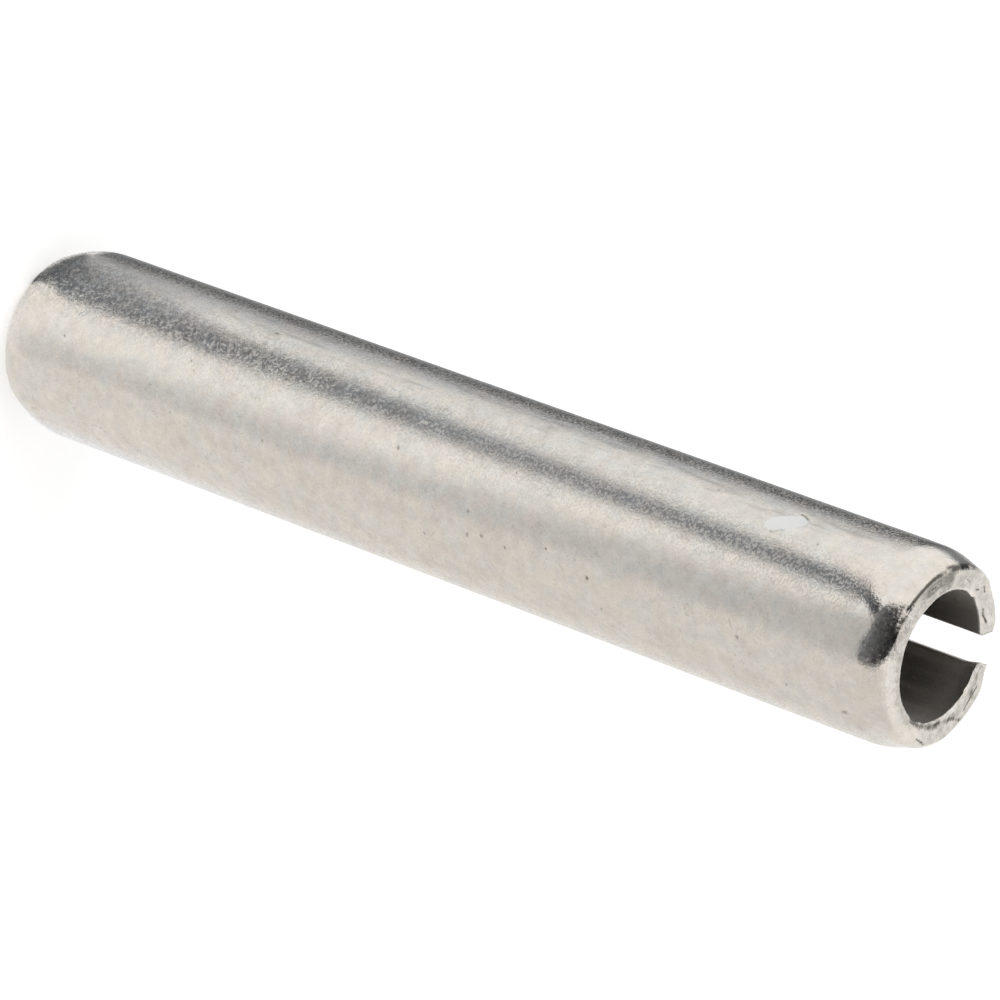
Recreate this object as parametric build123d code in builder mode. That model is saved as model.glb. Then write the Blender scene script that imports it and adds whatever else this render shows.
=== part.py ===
from build123d import *
import os
from math import asin, radians, tan

# Slotted spring pin, rolled from one strip of stainless steel and shown free, before it is
# driven into its hole. It stands on one end: the axis is +Z, the origin is the centre of the
# lower end face, and the slot faces +X.

os.makedirs("parts", exist_ok=True)

# Driving sizes, in millimetres and degrees

# The rolled strip; the slot is narrowest at the bore and opens outwards
pin_length = 50.0
free_diameter = 8.7
strip_thickness = 1.5
slot_width = 1.2

# Long edges of the strip, on both sides of the slot
lip_outer_radius = 0.45
lip_inner_radius = 0.12

# Swaged ends: a short cone with a soft start, and a round edge to the flat end ring
top_cone_length = 1.4
top_cone_angle = 18.0
top_blend_radius = 3.0
top_edge_radius = 0.42
bottom_cone_length = 1.5
bottom_cone_angle = 24.0
bottom_blend_radius = 3.9
bottom_edge_radius = 0.52

# Bevel at both mouths of the bore
mouth_bevel = 0.1

# Sizes that follow from these

outer_radius = free_diameter / 2
bore_radius = outer_radius - strip_thickness
mouth_radius = bore_radius + mouth_bevel
wedge_length = free_diameter
wedge_half_width = wedge_length * tan(asin(slot_width / 2 / bore_radius))
top_nose_radius = outer_radius - top_cone_length * tan(radians(top_cone_angle))
bottom_nose_radius = outer_radius - bottom_cone_length * tan(radians(bottom_cone_angle))

# The pin

with BuildPart() as roll_pin:
    # Section across the axis: a ring with a slot and round lips. The strip is cut square, so
    # rolling it leaves both faces of the slot pointing at the axis
    with BuildSketch() as section:
        Circle(outer_radius)
        Circle(bore_radius, mode=Mode.SUBTRACT)
        with BuildLine():
            Polyline(
                (0, 0),
                (wedge_length, wedge_half_width),
                (wedge_length, -wedge_half_width),
                close=True,
            )
        make_face(mode=Mode.SUBTRACT)
        inner_corners, outer_corners = section.vertices().group_by(Axis.X)[-2:]
        fillet(outer_corners, radius=lip_outer_radius)
        fillet(inner_corners, radius=lip_inner_radius)
    extrude(amount=pin_length)

    # Outline along the axis: both ends swaged, and both mouths of the bore bevelled
    with BuildSketch(Plane.XZ):
        with BuildLine():
            outside = FilletPolyline(
                (mouth_radius, 0),
                (bottom_nose_radius, 0),
                (outer_radius, bottom_cone_length),
                (outer_radius, pin_length - top_cone_length),
                (top_nose_radius, pin_length),
                (mouth_radius, pin_length),
                radius=(
                    bottom_edge_radius,
                    bottom_blend_radius,
                    top_blend_radius,
                    top_edge_radius,
                ),
            )
            Polyline(outside @ 1, (0, pin_length - mouth_radius), (0, mouth_radius), outside @ 0)
        make_face()
    revolve(axis=Axis.Z, mode=Mode.INTERSECT)

roll_pin.part.label = "roll_pin"
export_step(roll_pin.part, "parts/roll_pin.step")
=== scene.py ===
from math import asin, ceil, cos, pi, radians, sin, tan

import bpy
import numpy as np
from mathutils import Matrix, Vector, noise


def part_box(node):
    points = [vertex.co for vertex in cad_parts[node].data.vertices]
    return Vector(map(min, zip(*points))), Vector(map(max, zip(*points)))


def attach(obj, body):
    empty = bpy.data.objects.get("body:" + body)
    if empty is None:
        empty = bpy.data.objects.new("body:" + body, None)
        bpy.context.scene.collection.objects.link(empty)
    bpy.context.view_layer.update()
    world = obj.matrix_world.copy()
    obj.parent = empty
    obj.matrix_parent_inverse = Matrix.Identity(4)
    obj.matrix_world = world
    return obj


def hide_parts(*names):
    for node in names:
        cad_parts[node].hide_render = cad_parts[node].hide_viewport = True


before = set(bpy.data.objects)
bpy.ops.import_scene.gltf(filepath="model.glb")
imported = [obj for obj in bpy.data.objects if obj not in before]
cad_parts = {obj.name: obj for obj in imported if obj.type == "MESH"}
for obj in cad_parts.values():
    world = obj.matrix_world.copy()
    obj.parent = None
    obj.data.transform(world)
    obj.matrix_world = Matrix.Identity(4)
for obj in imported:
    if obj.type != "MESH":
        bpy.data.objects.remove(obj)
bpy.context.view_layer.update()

mm = 0.001

# The pin, in millimetres and degrees, as the frame has it

low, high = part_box("roll_pin")
pin_length = (high.z - low.z) / mm
outer_radius = (high.y - low.y) / 2 / mm
strip_thickness = 1.5
slot_width = 1.2
lip_outer_radius = 0.45
lip_inner_radius = 0.12
top_cone_length, top_cone_angle = 1.4, 18.0
top_blend_radius, top_edge_radius = 3.0, 0.42
bottom_cone_length, bottom_cone_angle = 1.5, 24.0
bottom_blend_radius, bottom_edge_radius = 3.9, 0.52
mouth_bevel = 0.1

bore_radius = outer_radius - strip_thickness
mouth_radius = bore_radius + mouth_bevel
face_azimuth = asin(slot_width / 2 / bore_radius)

# The camera: where it looks from, at which point, and how it is turned

camera_azimuth = 164.345
camera_elevation = 35.777
camera_roll = 110.159
camera_distance = 285.998
aim = Vector((0.5212, -0.3783, 25.838))
lens = 239.01

a, e = radians(camera_azimuth), radians(camera_elevation)
back = Vector((cos(e) * cos(a), cos(e) * sin(a), sin(e)))
camera_place = aim + back * camera_distance
camera = bpy.data.objects.new("camera", bpy.data.cameras.new("camera"))
bpy.context.scene.collection.objects.link(camera)
camera.data.sensor_width = 36
camera.data.lens = lens
camera.data.clip_start, camera.data.clip_end = 0.01, 20
camera.matrix_world = (
    Matrix.Translation(camera_place * mm)
    @ back.to_track_quat("Z", "Y").to_matrix().to_4x4()
    @ Matrix.Rotation(radians(camera_roll), 4, "Z")
)
bpy.context.scene.camera = camera
# The azimuth of the camera as the pin's axis sees it
facing = np.arctan2(camera_place.y, camera_place.x)

bpy.context.scene.view_settings.view_transform = "Standard"

# Outline and section


def rounded(corners, radii, line_steps, arc_step):
    """Points along a line of straight runs whose inner corners are rounded."""
    corners = [np.array(c, float) for c in corners]
    path = [corners[0]]

    def run_to(end, step):
        start = path[-1]
        count = max(1, ceil(np.linalg.norm(end - start) / step))
        path.extend(start + (end - start) * i / count for i in range(1, count + 1))

    for i, radius in enumerate(radii, 1):
        before, here, after = corners[i - 1 : i + 2]
        into = (here - before) / np.linalg.norm(here - before)
        out = (after - here) / np.linalg.norm(after - here)
        side = into[0] * out[1] - into[1] * out[0]
        turn = np.arctan2(side, into @ out)
        run_to(here - into * radius * tan(abs(turn) / 2), line_steps[i - 1])
        normal = np.array((-into[1], into[0])) * np.sign(turn)
        centre = path[-1] + normal * radius
        count = max(2, ceil(abs(turn) * radius / arc_step))
        for k in range(1, count + 1):
            angle = turn * k / count
            x, y = -normal * radius
            spun = (x * cos(angle) - y * sin(angle), x * sin(angle) + y * cos(angle))
            path.append(centre + np.array(spun))
    run_to(corners[-1], line_steps[-1])
    return np.array(path)


top_nose = outer_radius - top_cone_length * tan(radians(top_cone_angle))
bottom_nose = outer_radius - bottom_cone_length * tan(radians(bottom_cone_angle))
outline = rounded(
    [
        (mouth_radius, 0),
        (bottom_nose, 0),
        (outer_radius, bottom_cone_length),
        (outer_radius, pin_length - top_cone_length),
        (top_nose, pin_length),
        (mouth_radius, pin_length),
    ],
    [bottom_edge_radius, bottom_blend_radius, top_blend_radius, top_edge_radius],
    line_steps=[1.0, 0.12, 0.122, 0.12, 1.0],
    arc_step=0.06,
)[1:-1]

# One lip of the section, from the bore round to the outside: x, y and length along it


def arc(reach, azimuth, radius, start, end):
    """Points on an arc between two directions, round a centre at a reach and azimuth."""
    turn = np.linspace(start, end, 25)
    x, y = reach * cos(azimuth), reach * sin(azimuth)
    return np.stack([x + radius * np.cos(turn), y + radius * np.sin(turn)], 1)


inner_centre = bore_radius + lip_inner_radius
inner_azimuth = face_azimuth + asin(lip_inner_radius / inner_centre)
outer_centre = outer_radius - lip_outer_radius
outer_azimuth = face_azimuth + asin(lip_outer_radius / outer_centre)
lip = np.concatenate(
    [
        arc(
            inner_centre, inner_azimuth, lip_inner_radius,
            start=inner_azimuth + pi, end=face_azimuth + 1.5 * pi,
        ),
        arc(
            outer_centre, outer_azimuth, lip_outer_radius,
            start=face_azimuth - pi / 2, end=outer_azimuth,
        ),
    ]
)
lip_length = np.concatenate([[0], np.cumsum(np.linalg.norm(np.diff(lip, axis=0), axis=1))])
lip_radius = np.linalg.norm(lip, axis=1)
# Where the columns of an edge face lie, as shares of the length along the lip
shares = np.array(
    [0, 0.055, 0.11, 0.19, 0.262, 0.35, 0.44, 0.53, 0.61, 0.68, 0.75, 0.81, 0.87, 0.94, 1]
)


def along_lip(length):
    """The point of the lip at a length along it."""
    return np.interp(length, lip_length, lip[:, 0]), np.interp(length, lip_length, lip[:, 1])


def reach(radius):
    """The length along the lip at which it has that radius."""
    return np.interp(radius, lip_radius, lip_length)


def opening(radius):
    """The azimuth at which the section starts, at that radius."""
    x, y = along_lip(reach(radius))
    return np.arctan2(y, x)


# The columns round the outside, closer together on the side that the photograph shows

fine, coarse = 0.125, 0.19
fine_from, fine_to = radians(70), radians(262)
steps = [opening(outer_radius)]
last = 2 * pi - steps[0]
while steps[-1] < last:
    close = fine_from < steps[-1] < fine_to
    steps.append(steps[-1] + (fine if close else coarse) / outer_radius)
turns = (np.array(steps) - steps[0]) / (steps[-1] - steps[0])

# The surface: an outer sheet, two end rings, two edge faces along the slot, and the bore

points, faces = [], []


def add(x, y, z):
    """New points, as an array of their numbers."""
    x, y, z = np.broadcast_arrays(x, y, z)
    first = sum(len(p) for p in points)
    points.append(np.stack([x.ravel(), y.ravel(), z.ravel()], 1))
    return first + np.arange(x.size).reshape(x.shape)


def four_sided(grid):
    """Faces over a grid of point numbers."""
    corners = [grid[:-1, :-1], grid[:-1, 1:], grid[1:, 1:], grid[1:, :-1]]
    return np.stack(corners, -1).reshape(-1, 4)


def cover(grid, flip=False):
    """New faces over a grid of point numbers."""
    quads = four_sided(grid)
    faces.extend(map(tuple, quads[:, ::-1] if flip else quads))


def stitch(lower, upper, lower_at, upper_at):
    """Triangles between two lines of points that differ in number."""
    i = k = 0
    while i < len(lower) - 1 or k < len(upper) - 1:
        step_low = k == len(upper) - 1 or (
            i < len(lower) - 1 and lower_at[i + 1] + lower_at[i] <= upper_at[k + 1] + upper_at[k]
        )
        if step_low:
            faces.append((lower[i], upper[k], lower[i + 1]))
            i += 1
        else:
            faces.append((lower[i], upper[k], upper[k + 1]))
            k += 1


def ring_place(radius, turn):
    """x and y of a point at a share of the way round the section, at a radius."""
    start = opening(radius)
    azimuth = start + turn * (2 * pi - 2 * start)
    return radius * np.cos(azimuth), radius * np.sin(azimuth)


def edge_face(nose_rows, side):
    """Places over an edge face: x, y and z for every row and column."""
    radii, heights = nose_rows[:, 0], nose_rows[:, 1]
    x, y = along_lip(reach(radii)[:, None] * shares[None, :])
    radius = np.hypot(x, y)
    lowest = np.maximum(0, mouth_radius - radius[0])
    highest = pin_length - np.maximum(0, mouth_radius - radius[-1])
    z = lowest + heights[:, None] / pin_length * (highest - lowest)
    return x, y * side, z


x, y = ring_place(outline[:, 0][:, None], turns[None, :])
outside = add(x, y, outline[:, 1][:, None])
edges = []
for side, last_column in ((1, 0), (-1, -1)):
    x, y, z = edge_face(outline, side)
    edge = add(x[:, :-1], y[:, :-1], z[:, :-1])
    edges.append(np.concatenate([edge, outside[:, last_column][:, None]], 1))
rings = []
for row in (0, -1):
    x, y, z = edge_face(outline, 1)
    radius = np.hypot(x[row], y[row])
    x, y = ring_place(radius[:-1, None], turns[None, 1:-1])
    ring = add(x, y, z[row][:-1, None])
    ring = np.concatenate([edges[0][row][:-1, None], ring, edges[1][row][:-1, None]], 1)
    rings.append(np.concatenate([ring, outside[row][None, :]], 0))

# The bore's own grid starts a little inside its four borders, which stitches close
bore_start = opening(bore_radius) + 0.03
mouth_step = mouth_bevel + 0.12
bore_turns = np.linspace(bore_start, 2 * pi - bore_start, 48)
bore_heights = np.linspace(mouth_step, pin_length - mouth_step, 96)
bore = add(
    bore_radius * np.cos(bore_turns)[None, :],
    bore_radius * np.sin(bore_turns)[None, :],
    bore_heights[:, None],
)

cover(outside)
cover(edges[0])
cover(edges[1], flip=True)
cover(rings[0])
cover(rings[1], flip=True)
cover(bore, flip=True)

places = np.concatenate(points)


def round_at(numbers):
    """The azimuths of points, from 0 to a full turn."""
    return np.arctan2(places[numbers, 1], places[numbers, 0]) % (2 * pi)


stitch(bore[-1], rings[1][0], round_at(bore[-1]), round_at(rings[1][0]))
stitch(rings[0][0], bore[0], round_at(rings[0][0]), round_at(bore[0]))
stitch(bore[:, 0], edges[0][:, 0], places[bore[:, 0], 2], places[edges[0][:, 0], 2])
stitch(edges[1][:, 0], bore[:, -1], places[edges[1][:, 0], 2], places[bore[:, -1], 2])

mesh = bpy.data.meshes.new("spring_pin")
mesh.from_pydata((places * mm).tolist(), [], [tuple(int(n) for n in f) for f in faces])
mesh.validate()
mesh.update()
for polygon in mesh.polygons:
    polygon.use_smooth = True
pin = bpy.data.objects.new("spring_pin", mesh)
bpy.context.scene.collection.objects.link(pin)

# Shape of the surface: normals, azimuths and which region each point is in


def point_normals():
    """The pin's normals at all its points, as its shape is now."""
    flat = np.zeros(len(places) * 3)
    mesh.vertices.foreach_get("normal", flat)
    return flat.reshape(-1, 3)


normals = point_normals()
azimuth = np.arctan2(places[:, 1], places[:, 0])
# The azimuth from the camera's, positive towards the lower side of the photograph
beta = np.degrees((azimuth - facing + pi) % (2 * pi) - pi)
# The heights follow what is done to the places from here on; the radii don't
height = places[:, 2]
radius = np.hypot(places[:, 0], places[:, 1])
near_half = height > pin_length / 2
# The bore, with the borders of the end rings and of the slot that are painted as it is: dark,
# partly its own colour and partly painted shade
in_bore = np.zeros(len(places))
for grid in (bore, rings[0][:2], rings[1][:2], edges[0][:, :4], edges[1][:, :4]):
    in_bore[grid.ravel()] = 1
on_ring = np.zeros(len(places))
for ring in rings:
    on_ring[ring[2:-1].ravel()] = 1


def waves(wavelength, seed):
    """Smooth noise over all points, about -1 to 1."""
    shift = Vector((17.3 * seed, 5.1 * seed, 9.7 * seed))
    return np.array([noise.noise(Vector(p) / wavelength + shift) for p in places.tolist()])


def smooth(share):
    """A share, kept between 0 and 1, with a soft start and end."""
    share = np.clip(share, 0, 1)
    return share * share * (3 - 2 * share)


def within(value, low, high, soft):
    """1 where a value lies between two limits, falling to 0 over a soft width outside them."""
    return smooth(1 - np.maximum(low - value, value - high) / soft)


def leaned(at_height, at_beta, lean):
    """Distances along and across a line that leans from the pin's axis, from a place outside."""
    along = height - at_height
    across = np.radians(beta - at_beta) * outer_radius
    c, s = cos(radians(lean)), sin(radians(lean))
    return along * c + across * s, across * c - along * s


def from_line(x, y, corners):
    """Each point's distance from a line through corners."""
    nearest = np.full(len(places), 9.0)
    for (ax, ay), (bx, by) in zip(corners, corners[1:]):
        run, rise = bx - ax, by - ay
        share = ((x - ax) * run + (y - ay) * rise) / (run**2 + rise**2)
        share = np.clip(share, 0, 1)
        nearest = np.minimum(nearest, np.hypot(x - ax - share * run, y - ay - share * rise))
    return nearest


# How far each point is lifted from the smooth surface, and how dark it is painted: painted
# shade in dents, scratches, grooves and cracks, and more as told below. The outside, or shell, is
# faintly uneven from rolling, and the end rings are rougher
shell = np.clip((radius - mouth_radius) / 0.3, 0, 1) * (1 - on_ring)
lift = -0.02 + 0.006 * waves(7, 1) + 0.004 * waves(2.2, 2) + 0.0016 * waves(0.7, 3)
lift = np.minimum(lift, 0) * shell
lift += on_ring * (-0.02 + 0.03 * waves(0.9, 4) + 0.012 * waves(0.35, 5)).clip(-0.08, 0)

pit = np.zeros(len(places))


def dent(at_height, at_beta, width, depth, stretch=1.0, lean=0.0, shade=0.7):
    """A small dent in the outside, with painted shade: its middle, width, depth, how it is drawn
    out, and how dark.
    """
    along, across = leaned(at_height, at_beta, lean)
    far = np.hypot(along / stretch, across)
    far = np.where(radius > outer_radius - 1.2, far, 9) / (width / 2)
    lift[:] = lift - depth * np.exp(-(far**2)) + 0.25 * depth * np.exp(-((far - 1.5) ** 2) / 0.2)
    pit[:] = np.maximum(pit, shade * np.exp(-((far / 0.9) ** 2)))


for mark in (
    # height, azimuth from the camera's, width, depth, stretch, lean, shade
    (13.95, -49, 0.18, 0.03, 2.4, 0),
    (11.1, -11.5, 0.22, 0.02),
    (11.5, -6.6, 0.2, 0.02),
    (3.9, 0.5, 0.22, 0.025),
    (9.4, 10.6, 0.2, 0.02),
    (16.2, 18.2, 0.2, 0.02),
    (10.8, 21.7, 0.2, 0.02),
    (11.3, 59.5, 0.2, 0.02),
    (23.4, -5, 0.35, 0.02),
    (25.5, 12.4, 0.2, 0.02),
    (25.9, 10.3, 0.2, 0.02),
    (30.4, 14.2, 0.24, 0.025),
    (28.8, 26.4, 0.3, 0.035),
    (25.6, 38, 0.24, 0.025),
    (30.1, 28, 0.22, 0.02),
    (32.3, 20, 0.22, 0.02),
    (27.9, 15.2, 0.24, 0.02),
    (25.3, -5.7, 0.2, 0.02),
    (22.7, 31, 0.4, 0.012, 1.5, 20, 0.3),
    (23.5, 25.5, 0.2, 0.015, 1.6, 30, 0.5),
    (29.6, -14.7, 0.2, 0.02),
    (28.0, 28.6, 0.3, 0.02),
    (35.0, 14, 0.35, 0.02, 1.4, -20, 0.38),
    (34.6, 28.2, 0.3, 0.03, 1, 0, 0.8),
    (33.9, 20.5, 0.2, 0.015, 1.4, 60, 0.55),
    (42.6, 30.2, 0.3, 0.04),
    (42.2, 23, 0.14, 0.02, 4, 65),
    (45.1, 49.6, 0.2, 0.02),
    (48.0, 54.4, 0.34, 0.03, 1.8, -25),
    (35.3, 45, 0.22, 0.02),
    (48.7, -49.4, 0.18, 0.02),
    (44.6, -36.4, 0.22, 0.02),
    (38.6, -50, 0.22, 0.02, 1.6, 40),
):
    dent(*mark)


def scratch(width, depth, *path):
    """A fine line on the outside, through points given as height and azimuth."""
    corners = [(h, radians(b) * outer_radius) for h, b in path]
    far = from_line(height, np.radians(beta) * outer_radius, corners)
    mark = np.exp(-((far / width) ** 2)) * shell
    lift[:] = lift - depth * mark
    return mark


# A pale scuff in the shape of a drop, with thin rims and one more scratch painted dark as
# shade, and a few light scratches
along_drop, across_drop = leaned(42.6, -43.7, lean=-32)
drop_length = 0.92
drop_width = 0.47 - 0.03 * np.clip(along_drop, -1, 1)
scuff = 1 - 0.5 * np.hypot(along_drop / drop_length, across_drop / drop_width) ** 2
scuff = np.clip(scuff, 0, 1) * shell
lift -= 0.015 * (scuff > 0.5)
for width, depth, shade, *path in (
    # width, depth, shade, then heights and azimuths from the camera's
    (0.07, 0.02, 0.75, (42.75, -54), (43.0, -53.2), (43.25, -51.5), (43.36, -50)),
    (0.12, 0.015, 0.5, (42.3, -34), (42.75, -38.2)),
    (0.05, 0.015, 0.75, (27.2, -23.5), (27.6, -24), (27.8, -21.5)),
):
    pit = np.maximum(pit, shade * scratch(width, depth, *path))
for width, depth, *path in (
    (0.06, 0.012, (21.1, -39), (21.6, -37)),
    (0.05, 0.012, (22.0, -70), (22.9, -72)),
    (0.05, 0.012, (38.3, -51), (38.8, -52), (39.0, -49.5)),
    (0.05, 0.012, (17.6, -41), (18.0, -37.5)),
    (0.05, 0.012, (18.2, -41.5), (18.5, -38.5)),
):
    scuff = np.maximum(scuff, 0.8 * scratch(width, depth, *path))


# The dark patch on the near crown lies between two lines: azimuths from the camera's at heights
patch_heights = [48.6, 48.8, 48.9, 49.0, 49.15, 49.3, 49.6, 49.93, 49.993]
patch_upper = [9, 7, 2, -13, -15, -16, -18, -20, -22]
patch_lower = [14, 16, 17, 17, 18, 18, 16, 9, 2]

# The near end as it was swaged and torn: degrees are from the camera's azimuth
at_end = np.clip((height - 48.7) / 1.2, 0, 1)
lower_side = beta % 360
ring_edge = outline[-1, 0]
# The corner between end ring and crown: where its arc has its middle
corner_turn = radians(90 - top_cone_angle) / 2
corner_radius = ring_edge + top_edge_radius * sin(corner_turn)
corner_height = pin_length - top_edge_radius * (1 - cos(corner_turn))


def corner_lift(height, radius, beta):
    """The near corner is rounder between the dark patch and the underside, and sharper above."""
    away = np.hypot(height - corner_height, radius - corner_radius)
    rounder = 0.19 * within(beta, -8, 45, 30) * np.exp(-((away / 0.55) ** 2))
    sharper = 0.075 * within(beta, -112, -30, 16) * np.exp(-((away / 0.16) ** 2))
    fuller = 0.06 * within(beta, 92, 122, 22) + 0.02 * within(beta, -155, -132, 14)
    fuller *= np.exp(-((away / 0.3) ** 2))
    return sharper + fuller - rounder


lift += corner_lift(height, radius, beta)
from_corner = np.hypot(height - corner_height, radius - corner_radius)
# Along the sharper part runs a fine groove, painted dark as shade
groove_width = 0.1 + 0.05 * within(beta, -74, -58, 12)
groove = np.exp(-((from_corner / groove_width) ** 2)) * within(beta, -82, -20, 5)
groove *= np.clip(0.95 + 0.6 * waves(0.5, 8) + 0.4 * waves(0.2, 9), 0.45, 1)
lift -= 0.06 * groove
# Its upper part widens down the crown into a hollow, also painted dark as shade
hollow = np.hypot(height - corner_height + 0.09, radius - corner_radius - 0.045)
hollow = np.exp(-((hollow / 0.14) ** 2)) * within(beta, -82, -64, 7)
hollow *= np.clip(0.9 + 0.5 * waves(0.5, 12), 0, 1)
lift -= 0.04 * hollow
pit = np.maximum(pit, np.maximum(groove, 0.8 * hollow))
# The cracks below are ragged along their length
ragged = np.clip(0.95 + 0.5 * waves(0.3, 10) + 0.5 * waves(0.12, 11), 0.4, 1)


def crack(width, *path, shade=1.0):
    """A crack in the near end ring, painted dark as shade, through points given as radius and
    azimuth.
    """
    corners = [(r * cos(radians(b)), r * sin(radians(b))) for r, b in path]
    x, y = radius * np.cos(np.radians(beta)), radius * np.sin(np.radians(beta))
    far = from_line(x, y, corners)
    mark = np.exp(-((far / width) ** 2)) * (height > pin_length - 0.35) * ragged
    lift[:] = lift - 0.5 * width * mark
    pit[:] = np.maximum(pit, shade * mark)


crack(0.07, (3.08, -129), (3.0, -134), (3.12, -139), (3.2, -143))
crack(0.06, (3.52, -110), (3.44, -117))
crack(0.07, (3.1, 131), (3.3, 137), (3.62, 142))
# The widest lies along the bevel into the bore below, painted dark as shade
crack(0.21, (2.97, 80), (3.0, 95), (3.06, 106), (3.11, 114), (3.06, 121), shade=0.8)
crack(0.07, (3.05, 97), (3.1, 108), shade=0.8)
crack(0.05, (3.55, 93), (3.64, 99), (3.74, 103))
crack(0.05, (3.6, -40), (3.5, -47))
crack(0.04, (3.32, -84), (3.28, -88))
crack(0.05, (3.14, -101), (3.2, -106))
crack(0.05, (3.4, 150), (3.3, 160), (3.35, 168))

# The shape: all that was lifted or pressed, and then the lips and the burrs
places += normals * lift[:, None]
# The upper lip ends a little lower
lower_by = 0.2 * within(beta, -180, -122, 24) * within(beta, -156, -90, 3) * at_end
lower_by *= 1 - 0.3 * np.clip((radius - 3.2) / 0.35, 0, 1)
places[:, 2] -= lower_by
# The lower lip is pressed inwards at its outer corner, and swells into the slot
pressed = within(lower_side, 182, 200, 16) * at_end * np.clip((radius - 3.25) / 0.5, 0, 1)
places[:, 2] -= 0.1 * pressed
places[:, :2] *= (1 - 0.14 * pressed / np.maximum(radius, 1))[:, None]
swell = within(lower_side, 179, 190, 9) * within(radius, 3.0, 3.55, 0.2)
swell *= np.clip((height - 49.2) / 0.7, 0, 1)
sideways = np.stack([-np.sin(azimuth), np.cos(azimuth)], 1)
places[:, :2] += (0.14 * swell)[:, None] * sideways
# A torn burr hangs into the bore from the lower lip, and a smaller one from the upper
torn = 0.13 * within(lower_side, 160, 190, 20) + 0.1 * within(beta, -162, -104, 14)
torn += 0.06 * within(lower_side, 96, 140, 16)
torn *= 0.7 + 0.6 * waves(0.6, 6) + 0.5 * waves(0.22, 7)
burr = torn * np.clip(1 - (radius - bore_radius) / 0.4, 0, 1) * (height > 49.85)
places[:, :2] *= (1 - burr / np.maximum(radius, 1))[:, None]
places[:, 2] -= 0.25 * burr
in_bore *= 1 - np.clip(burr / 0.06, 0, 1)
places[:, 2] = np.clip(places[:, 2], 0, pin_length)
mesh.vertices.foreach_set("co", (places * mm).ravel())
mesh.update()

# Where the surface is flat and level it looks torn, as the end rings do
on_ring = np.clip((np.abs(point_normals()[:, 2]) - 0.9) / 0.08, 0, 1)
on_ring *= radius > bore_radius + 0.03
# Beside the dark patch the corner is painted dark down to the ring, a painted reflection that
# carries the patch on
smear = np.hypot(height - corner_height + 0.05, radius - corner_radius + 0.06)
smear = np.exp(-((smear / 0.3) ** 2)) * within(beta, -13, 0, 12)
smear *= np.clip(0.85 + 0.5 * waves(0.4, 13), 0, 1)
pit = np.maximum(pit, 0.62 * smear)
# Under the dark patch the steel is smoother and mottled darker, and duller in blotches on the
# crown
upper_line = np.interp(height, patch_heights, patch_upper)
lower_line = np.interp(height, patch_heights, patch_lower)
worn = within(beta, upper_line, lower_line, 5) * np.clip((height - 48.5) / 0.3, 0, 1)
blotched = worn * np.clip((49.75 - height) / 0.3, 0.25, 1)
# A painted highlight: one bright glint on the corner above it
fleck = np.hypot(from_corner, np.radians(beta + 21) * radius)
scuff = np.maximum(scuff, np.exp(-((fleck / 0.13) ** 2)) * near_half)
# Faint lines run along the side of the pin, above the streak
lined = within(beta, -74, -50, 10) * within(height, 10, 46, 4)
# On the left and below, the near ring's outer part is as smooth as the crown
on_ring *= 1 - within(beta, -15, 90, 25) * np.clip((radius - 3.15) / 0.25, 0, 1) * near_half
# The ring has less of its torn colour towards the upper lip
on_ring *= 1 - 0.4 * within(beta, -150, -98, 15) * near_half
# The near ring is painted darker at the upper left, and along its inner edge below with painted
# shade where it drops into the bore
grime = 0.3 + 0.5 * within(radius, 3.4, 4, 0.2) + 0.5 * waves(0.6, 14) + 0.2 * waves(0.25, 15)
grime *= within(beta, -62, -16, 12)
below = within(lower_side, 100, 184, 25) * np.clip((3.5 - radius) / 0.35, 0, 1)
grime += below * (0.3 + 0.9 * waves(0.35, 16))
pit = np.maximum(pit, grime.clip(0, 0.58) * on_ring * near_half)
# The near crown is burnished
polish = np.clip((height - 47.4) / 0.9, 0, 1) * shell * within(beta, -85, 18, 10)
# The pin is scored along its dark streak, most of all and more widely at the far end
narrowing = np.clip((height - 4) / 7, 0, 1)
scored = np.clip(1.6 - np.abs(beta + 38 - 10 * narrowing) / (18 - 9 * narrowing), 0, 1)
scored *= np.clip((28 - height) / 13, 0, 1)
frost = 0.55 * (1 - 0.35 * polish) * (1 - 0.4 * scored)
# Painted light: the bore is paler towards the near mouth
mouth = np.clip((height - 47.5) / 2.5, 0, 1)


def paint(mesh, **layers):
    """Values at a mesh's points, which its material reads by name."""
    for name, values in layers.items():
        mesh.attributes.new(name, "FLOAT", "POINT").data.foreach_set("value", values.ravel())


paint(
    mesh, bore=in_bore, ring=on_ring, pit=pit, scuff=scuff, frost=frost, scored=scored,
    worn=worn, blotched=blotched, lined=lined, polish=polish, mouth=mouth,
)

# Materials


def tree_of(name):
    """A new material's node tree, empty, with its output."""
    material = bpy.data.materials.new(name)
    material.use_nodes = True
    material.node_tree.nodes.clear()
    output = material.node_tree.nodes.new("ShaderNodeOutputMaterial")
    return material, material.node_tree, output


def node(tree, kind, settings=None, **inputs):
    """A node with its settings and inputs; an input is a value or another node's socket."""
    made = tree.nodes.new("ShaderNode" + kind)
    for key, value in (settings or {}).items():
        setattr(made, key, value)
    for key, value in inputs.items():
        name = key.replace("_", " ")
        socket = made.inputs[int(name[3:])] if name.startswith("in ") else made.inputs[name]
        if isinstance(value, bpy.types.NodeSocket):
            tree.links.new(value, socket)
        else:
            socket.default_value = value
    return made


def math(tree, operation, *values, clamp=False):
    """The output of a Math node."""
    inputs = {f"in_{i}": v for i, v in enumerate(values)}
    return node(tree, "Math", {"operation": operation, "use_clamp": clamp}, **inputs).outputs[0]


def blend_colour(tree, share, first, second):
    """Two colours mixed."""
    mix = node(tree, "Mix", {"data_type": "RGBA"})
    for index, value in ((0, share), (6, first), (7, second)):
        if isinstance(value, bpy.types.NodeSocket):
            tree.links.new(value, mix.inputs[index])
        else:
            mix.inputs[index].default_value = value
    return mix.outputs[2]


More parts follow.
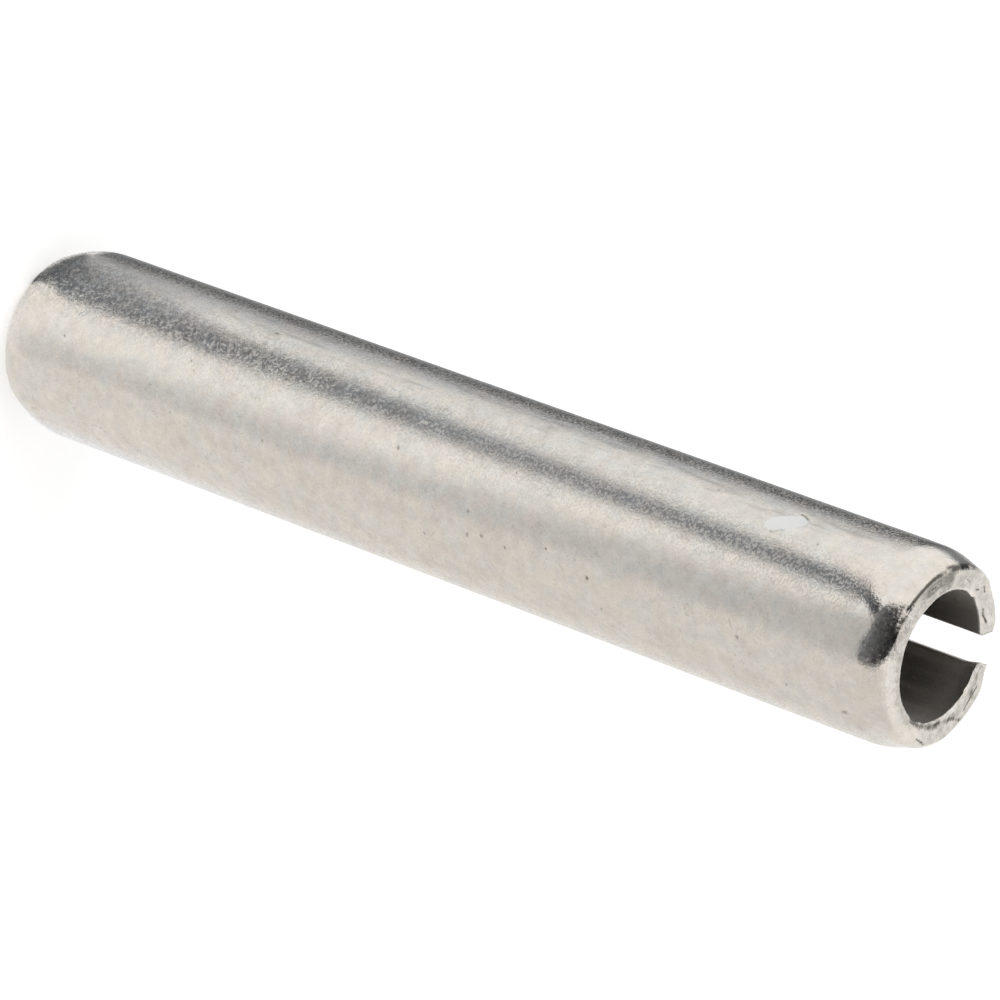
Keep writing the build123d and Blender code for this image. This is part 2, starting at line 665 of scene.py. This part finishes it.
def attribute(tree, name):
    """The value of one of the mesh's own attributes."""
    return node(tree, "Attribute", {"attribute_name": name}).outputs["Fac"]


def per(length):
    """The scale of a texture whose features have that length, in millimetres."""
    return 1 / (length * mm)


steel, tree, output = tree_of("stainless_steel")
place = node(tree, "TexCoord").outputs["Object"]


def times(*values):
    """Two of the steel's values multiplied."""
    return math(tree, "MULTIPLY", *values)


def scaled(value, factor, offset):
    """A value of the steel times a factor, plus an offset."""
    return math(tree, "MULTIPLY_ADD", value, factor, offset)


def larger(*values):
    """The larger of two of the steel's values."""
    return math(tree, "MAXIMUM", *values)


def drawn_out(factor):
    """Places on the steel with their heights scaled: below 1 draws a texture out lengthwise."""
    mapping = node(tree, "Mapping", {"vector_type": "POINT"}, Vector=place, Scale=(1, 1, factor))
    return mapping.outputs[0]


def grain(length, detail=2.0, roughness=0.5, distortion=0.0, at=place):
    """Noise over the steel, from 0 to 1."""
    made = node(
        tree, "TexNoise", Vector=at, Scale=per(length), Detail=detail,
        Roughness=roughness, Distortion=distortion,
    )
    return made.outputs["Fac"]


def above(value, low, high):
    """A value brought to 0 below low and 1 above high, smoothly."""
    made = node(tree, "MapRange", {"interpolation_type": "SMOOTHSTEP"}, Value=value)
    made.inputs["From Min"].default_value = low
    made.inputs["From Max"].default_value = high
    return made.outputs["Result"]


def worms(length, width):
    """Thin curled lines, where a noise field passes through its middle value."""
    off = math(tree, "ABSOLUTE", math(tree, "SUBTRACT", grain(length, 1.0, 0.5, 0.6), 0.5))
    return math(tree, "SUBTRACT", 1.0, above(off, 0.0, width))


# Marks that the tumbling left: dull specks all over, and a few curled scratches
frost = attribute(tree, "frost")
scored = attribute(tree, "scored")
fine_grain = grain(0.13, 2, 0.6, at=drawn_out(1.2))
specks = above(scaled(scored, -0.06, fine_grain), 0.42, 0.62)
specks = times(times(specks, above(grain(1.1, 3), -0.4, 0.6)), frost)
patches = above(scaled(scored, 0.4, grain(1.3, 2)), 0.6, 0.8)
patches = times(patches, above(grain(0.15, 1), 0.44, 0.56))
curls = times(worms(0.28, 0.13), patches)
blotches = times(above(grain(0.2, 3, 0.7), 0.44, 0.66), attribute(tree, "blotched"))
dull = larger(larger(curls, specks), times(blotches, 0.8))

# The steel's own colour, warm and cool in turn, and how bright it is
cream, rose, grey = (0.8, 0.745, 0.655, 1), (0.77, 0.705, 0.635, 1), (0.76, 0.735, 0.685, 1)
colour = blend_colour(tree, above(grain(2.0, 3), 0.35, 0.65), cream, rose)
colour = blend_colour(tree, above(grain(0.9, 4), 0.35, 0.7), colour, grey)
mottle = scaled(grain(0.7, 4, 0.8), 0.56, 0.66)
mottle = scaled(fine_grain, 0.12, mottle)
lines = above(grain(0.35, 3, 0.6, 0.3, at=drawn_out(0.14)), 0.5, 0.66)
mottle = scaled(times(lines, attribute(tree, "lined")), -0.22, mottle)
worked = math(tree, "SUBTRACT", above(grain(0.24, 3, 0.7), 0.38, 0.62), 0.25)
mottle = times(mottle, scaled(times(worked, scored), -0.4, 1.0))
smudges = times(above(grain(0.22, 3, 0.7), 0.42, 0.6), attribute(tree, "worn"))
mottle = times(mottle, scaled(smudges, -0.4, 1.0))
colour = node(tree, "VectorMath", {"operation": "SCALE"}, in_0=colour, Scale=mottle).outputs[0]
# Sparse brownish blemishes, and the paler dull marks
blemish = times(above(grain(0.26, 3, 0.7), 0.57, 0.68), above(grain(2.2, 2), 0.46, 0.6))
colour = blend_colour(tree, times(blemish, 0.42), colour, (0.45, 0.415, 0.36, 1))
colour = blend_colour(tree, times(dull, 0.4), colour, (0.745, 0.74, 0.725, 1))

# The torn end rings, and the bore with its drawn lines, dark partly in its own colour and partly
# as painted shade, and paler towards the near mouth as painted light
ring_share, bore_share = attribute(tree, "ring"), attribute(tree, "bore")
torn_dark, torn_pale = (0.48, 0.455, 0.405, 1), (0.78, 0.745, 0.68, 1)
torn = blend_colour(tree, above(grain(0.35, 4, 0.7), 0.3, 0.7), torn_dark, torn_pale)
colour = blend_colour(tree, ring_share, colour, torn)
drawn_dark, drawn_pale = (0.32, 0.305, 0.28, 1), (0.5, 0.478, 0.442, 1)
streaks = above(grain(0.5, 4, at=drawn_out(0.06)), 0.3, 0.7)
drawn = blend_colour(tree, streaks, drawn_dark, drawn_pale)
drawn = blend_colour(tree, attribute(tree, "mouth"), drawn, (0.55, 0.53, 0.495, 1))
colour = blend_colour(tree, bore_share, colour, drawn)

# Scuffs and the painted glint are pale, and the painted shade and painted reflection are dark,
# both with ragged edges
raggedness = scaled(grain(0.1, 2), 0.4, -0.2)
scuffed = above(math(tree, "ADD", attribute(tree, "scuff"), times(raggedness, 0.4)), 0.36, 0.6)
colour = blend_colour(tree, scuffed, colour, (0.84, 0.835, 0.805, 1))
pitted = above(math(tree, "ADD", attribute(tree, "pit"), raggedness), 0.2, 0.85)
colour = blend_colour(tree, times(pitted, 0.9), colour, (0.055, 0.052, 0.043, 1))

gloss = scaled(dull, 0.55, scaled(grain(0.6, 3), 0.1, 0.13))
gloss = larger(gloss, times(scuffed, 0.4))
burnished = math(tree, "SUBTRACT", 1.0, times(attribute(tree, "polish"), 0.5))
gloss = times(gloss, burnished)
gloss = larger(gloss, times(ring_share, 0.35))
gloss = larger(gloss, times(bore_share, 0.5))
raised = times(curls, scaled(scored, 0.7, 0.2))
flattened = larger(scuffed, times(attribute(tree, "worn"), 0.6))
relief = times(math(tree, "ADD", raised, fine_grain), math(tree, "SUBTRACT", 1.0, flattened))
fine_bump = node(tree, "Bump", Height=relief, Strength=1.0, Distance=0.012 * mm)
shader = node(
    tree, "BsdfPrincipled", Metallic=1.0, Roughness=gloss, Normal=fine_bump.outputs[0]
)
tree.links.new(colour, shader.inputs["Base Color"])
tree.links.new(shader.outputs[0], output.inputs[0])
mesh.materials.append(steel)

# The floor: white to the camera, with the pin's soft shadow, and white in the reflections

floor_size = 4.0
floor_mesh = bpy.data.meshes.new("floor")
half = floor_size / 2
floor_mesh.from_pydata(
    [(-half, -half, 0), (half, -half, 0), (half, half, 0), (-half, half, 0)], [], [(0, 1, 2, 3)]
)
floor = bpy.data.objects.new("floor", floor_mesh)
bpy.context.scene.collection.objects.link(floor)
white, tree, output = tree_of("floor_white")
ray_is = node(tree, "LightPath").outputs
mirrored_ray = math(
    tree, "ADD", ray_is["Is Glossy Ray"], ray_is["Is Transmission Ray"], clamp=True
)
matte = node(tree, "BsdfDiffuse", Color=(0.85, 0.85, 0.85, 1))
fill = node(tree, "Emission", Strength=math(tree, "MULTIPLY", ray_is["Is Camera Ray"], 0.4))
seen = node(tree, "AddShader", in_0=matte.outputs[0], in_1=fill.outputs[0])
plain = node(tree, "Emission", Strength=1.0)
mixed = node(tree, "MixShader", in_0=mirrored_ray, in_1=seen.outputs[0], in_2=plain.outputs[0])
tree.links.new(mixed.outputs[0], output.inputs[0])
floor_mesh.materials.append(white)

# The world and one broad lamp

world = bpy.data.worlds.new("studio")
bpy.context.scene.world = world
world.use_nodes = True
tree = world.node_tree
tree.nodes.clear()
output = tree.nodes.new("ShaderNodeOutputWorld")
ray_is = node(tree, "LightPath").outputs
direct = math(tree, "ADD", ray_is["Is Camera Ray"], ray_is["Is Glossy Ray"], clamp=True)
direct = math(tree, "ADD", direct, ray_is["Is Transmission Ray"], clamp=True)
ambient = node(tree, "Background", Color=(1, 1, 1, 1), Strength=0.75)
sky = node(tree, "Background", Color=(1, 1, 1, 1), Strength=1.0)
mixed = node(tree, "MixShader", in_0=direct, in_1=ambient.outputs[0], in_2=sky.outputs[0])
tree.links.new(mixed.outputs[0], output.inputs[0])

lamp = bpy.data.lights.new("soft_lamp", "AREA")
lamp.shape = "DISK"
lamp.size = 0.3
lamp.energy = 0.35
lamp_object = bpy.data.objects.new("soft_lamp", lamp)
bpy.context.scene.collection.objects.link(lamp_object)
lamp_object.visible_glossy = False
lamp_place = Vector((-0.05, 0.25, 0.4))
lamp_turn = (lamp_place - aim * mm).to_track_quat("Z", "Y").to_matrix().to_4x4()
lamp_object.matrix_world = Matrix.Translation(lamp_place) @ lamp_turn

# Cards round the pin, seen only as reflections in it, as a photographer hangs them

cold, cool, chill = (0.93, 1.0, 1.12), (0.96, 1.0, 1.07), (0.985, 1.0, 1.015)
neutral, rosy = (0.99, 1.0, 1.02), (1.0, 0.985, 0.97)
# The cards hang within this distance of the pin's axis, and over the floor by a small gap that
# is wider for those that hang farther in
widest = 9.0
least_gap, gap_growth = 0.02, 0.04

# Length along the outline at each of its points, and its direction there
along = np.concatenate([[0], np.cumsum(np.linalg.norm(np.diff(outline, axis=0), axis=1))])
slopes = np.gradient(outline, along, axis=0)


def skin(s, beta):
    """Place on the smooth outside, at a length along the outline and an azimuth."""
    rho, z = np.interp(s, along, outline[:, 0]), np.interp(s, along, outline[:, 1])
    lift = corner_lift(z, rho, beta)
    rho = rho + lift * np.interp(s, along, slopes[:, 1])
    z = z - lift * np.interp(s, along, slopes[:, 0])
    turn = facing + np.radians(beta)
    return np.stack([rho * np.cos(turn), rho * np.sin(turn), z], -1)


def surface(z, beta):
    """Place and normal of the smooth outside at a height and azimuth."""
    s = np.interp(z, outline[:, 1], along)
    step = 0.03
    upward = skin(s + step, beta) - skin(s - step, beta)
    sideward = skin(s, beta + 1) - skin(s, beta - 1)
    out = np.cross(sideward, upward)
    return skin(s, beta), out / np.linalg.norm(out, axis=-1, keepdims=True)


def mirrored(z, beta, distance):
    """Where the camera's ray lands on a round wall or the floor, after the pin turns it back."""
    place, out = surface(z, beta)
    ray = place - np.array(camera_place)
    ray /= np.linalg.norm(ray, axis=-1, keepdims=True)
    ray -= 2 * (ray * out).sum(-1, keepdims=True) * out
    flat, ray_flat = place[..., :2], ray[..., :2]
    a = (ray_flat**2).sum(-1)
    b = (flat * ray_flat).sum(-1)
    c = (flat**2).sum(-1) - distance**2
    to_wall = np.minimum((-b + np.sqrt(b * b - a * c)) / a, 2 * distance)
    floor_gap = least_gap + gap_growth * (widest - distance)
    drop = np.maximum(place[..., 2] - floor_gap, least_gap)
    # A ray that hardly falls doesn't reach the floor
    fall = -ray[..., 2]
    to_floor = np.where(fall > 0.01, drop / np.maximum(fall, 0.01), 1e3)
    return place + np.minimum(to_wall, to_floor)[..., None] * ray


def hang(name, spots, opaque, tone, tint):
    """A sheet through a grid of places, with an opacity and a brightness at each of them."""
    grid = np.arange(opaque.size).reshape(opaque.shape)
    made = bpy.data.meshes.new(name)
    made.from_pydata((spots.reshape(-1, 3) * mm).tolist(), [], four_sided(grid).tolist())
    paint(made, opaque=opaque, tone=tone * np.ones(opaque.shape))
    coat, tree, output = tree_of(name)
    clear = node(tree, "BsdfTransparent").outputs[0]
    glow = node(tree, "Emission", Strength=attribute(tree, "tone"), Color=(*tint, 1)).outputs[0]
    both = node(tree, "MixShader", in_0=attribute(tree, "opaque"), in_1=clear, in_2=glow)
    tree.links.new(both.outputs[0], output.inputs[0])
    made.materials.append(coat)
    held = bpy.data.objects.new(name, made)
    bpy.context.scene.collection.objects.link(held)
    held.visible_camera = held.visible_diffuse = held.visible_shadow = False
    held.visible_transmission = held.visible_volume_scatter = False


def card(
    name, distance, shade, heights, upper, lower, soft_upper, soft_lower,
    soft_ends=(0.1, 0.1), tint=cool,
):
    """A grey card whose reflection lies between two lines down the pin, with soft edges.

    The lines are azimuths from the camera's at some heights, and so are the widths over which
    the card fades beyond them; its shade may change with height as well.
    """
    fewest_rows, rows_per_mm = 60, 4
    count = max(fewest_rows, int((heights[-1] - heights[0]) * rows_per_mm))
    z = np.linspace(heights[0], heights[-1], count)
    # On the last millimetres the rows lie closer and closer together
    crown_start = max(heights[0], pin_length - 3)
    if heights[-1] > crown_start:
        closing = 1 - np.linspace(1, 0, fewest_rows) ** 2
        z = np.append(z[z < crown_start], crown_start + (heights[-1] - crown_start) * closing)

    def at(values):
        """A column with a value for every row, from one value or one at each height."""
        values = np.broadcast_to(np.array(values, float), len(heights))
        return np.interp(z, heights, values)[:, None]

    upper, lower, tone = at(upper), at(lower), at(shade)
    soft_upper, soft_lower = at(soft_upper), at(soft_lower)
    # Columns over each soft edge, and between the two
    edge, middle = np.linspace(0, 1, 9), np.linspace(0, 1, 12)[1:-1]
    beta = np.concatenate(
        [
            upper - soft_upper + soft_upper * edge,
            upper + (lower - upper) * middle,
            lower + soft_lower * edge,
        ],
        1,
    )
    opaque = smooth(np.concatenate([edge, np.ones(len(middle)), 1 - edge]))
    ends = smooth((z - z[0]) / soft_ends[0]) * smooth((z[-1] - z) / soft_ends[1])
    spots = mirrored(np.broadcast_to(z[:, None], beta.shape), beta, distance)
    hang(name, spots, ends[:, None] * opaque, tone, tint)


def screen(name, distance, shade, start, end, soft, soft_top):
    """A grey screen bent round the pin, between two azimuths, fading beyond them and upwards."""
    turn = np.linspace(start - soft, end + soft, 40)
    heights = np.linspace(0.05, pin_length, 30)[:, None]
    opaque = smooth((turn - turn[0]) / soft) * smooth((turn[-1] - turn) / soft)
    opaque = opaque * smooth((pin_length - heights) / soft_top)
    turn = np.radians(turn)
    x, y = distance * np.cos(turn), distance * np.sin(turn)
    hang(name, np.stack(np.broadcast_arrays(x, y, heights), -1), opaque, shade, cool)


# The dark upper edge, and the grey beside it
card(
    "edge_card", 8.6, [0.12, 0.12, 0.12, 0.13, 0.2, 0.26, 0.22],
    [2.0, 12, 47.6, 48.2, 48.6, 49.1, 49.97],
    [-75.2, -75.8, -77, -80, -86, -88, -90],
    [-64, -65.2, -66, -68, -74, -78, -76],
    5, [4, 5, 5, 5, 6, 7, 6], (0.2, 0.02),
)
card(
    "grey_card", 8.8, [0.46, 0.49, 0.5, 0.52, 0.53, 0.58], [1.8, 9, 16, 22, 30, 48.5],
    -84, [-56, -57, -56, -58, -58.5, -60], 4, [10, 10, 9, 10, 10, 10], (0.2, 0.8),
)
# The dark streak, which turns into the dark patch on the near crown
card(
    "streak_card", 8.4,
    [0.14, 0.16, 0.17, 0.24, 0.31, 0.29, 0.29, 0.22, 0.13, 0.08, 0.05],
    [0.05, 0.7, 1.5, 2.4, 5, 13, 31, 47.7, 48.3, 48.7, 49.0],
    [-30, -48, -62, -44, -33, -31, -26, -23.2, -18.5, -15.5, -14],
    [-25, -28, -28.5, -24, -23.5, -23.5, -22, -17, -13.5, -9, -3.5],
    [1, 2, 4, 14, 14, 8, 8, 5, 2, 2, 2],
    [1, 2, 2, 4, 6, 9, 9, 5, 2, 2, 2],
    tint=cold,
)
card(
    "patch_card", 7.8, [0.25, 0.23, 0.21, 0.19, 0.15, 0.1, 0.05, 0.03, 0.02],
    patch_heights, patch_upper, patch_lower, 3, 3, (0.15, 0.003),
)
# A paler, colder light above the streak
card("pale_card", 8.9, [0.93, 0.91, 0.96], [8, 20, 47], -58, -36, 6, 10, (6, 2), chill)
# The far end is greyer above the streak
card("far_card", 8.7, [0.53, 0.58], [1.6, 14], -58, -38, 5, 8, (0.3, 10))
# The soft grey below the bright middle, and the paler underside
card(
    "veil_card", 8.2, [0.69, 0.65, 0.64, 0.62, 0.61, 0.54], [0.05, 25, 33, 41, 46.5, 49.3],
    [16, 13, 8, 5, 1, -3], 17, [20, 20, 18, 16, 12, 9], 7, (2.5, 0.3), neutral,
)
card(
    "lower_card", 8.0, [0.87, 0.81, 0.79], [0.05, 20, 49.99], 22, [52, 59, 60], 6, 26, tint=rosy,
)
# A cold light along the lower outline, at the far end
card("rim_card", 8.3, 1.04, [0.05, 22], 68, 84, 14, 6, (0.1, 16))

# A darker one on the side of the slot, for those who walk round the pin
screen("slot_screen", 8.4, 0.14, 322, 348, soft=9, soft_top=5)

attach(pin, "root")
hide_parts("roll_pin")
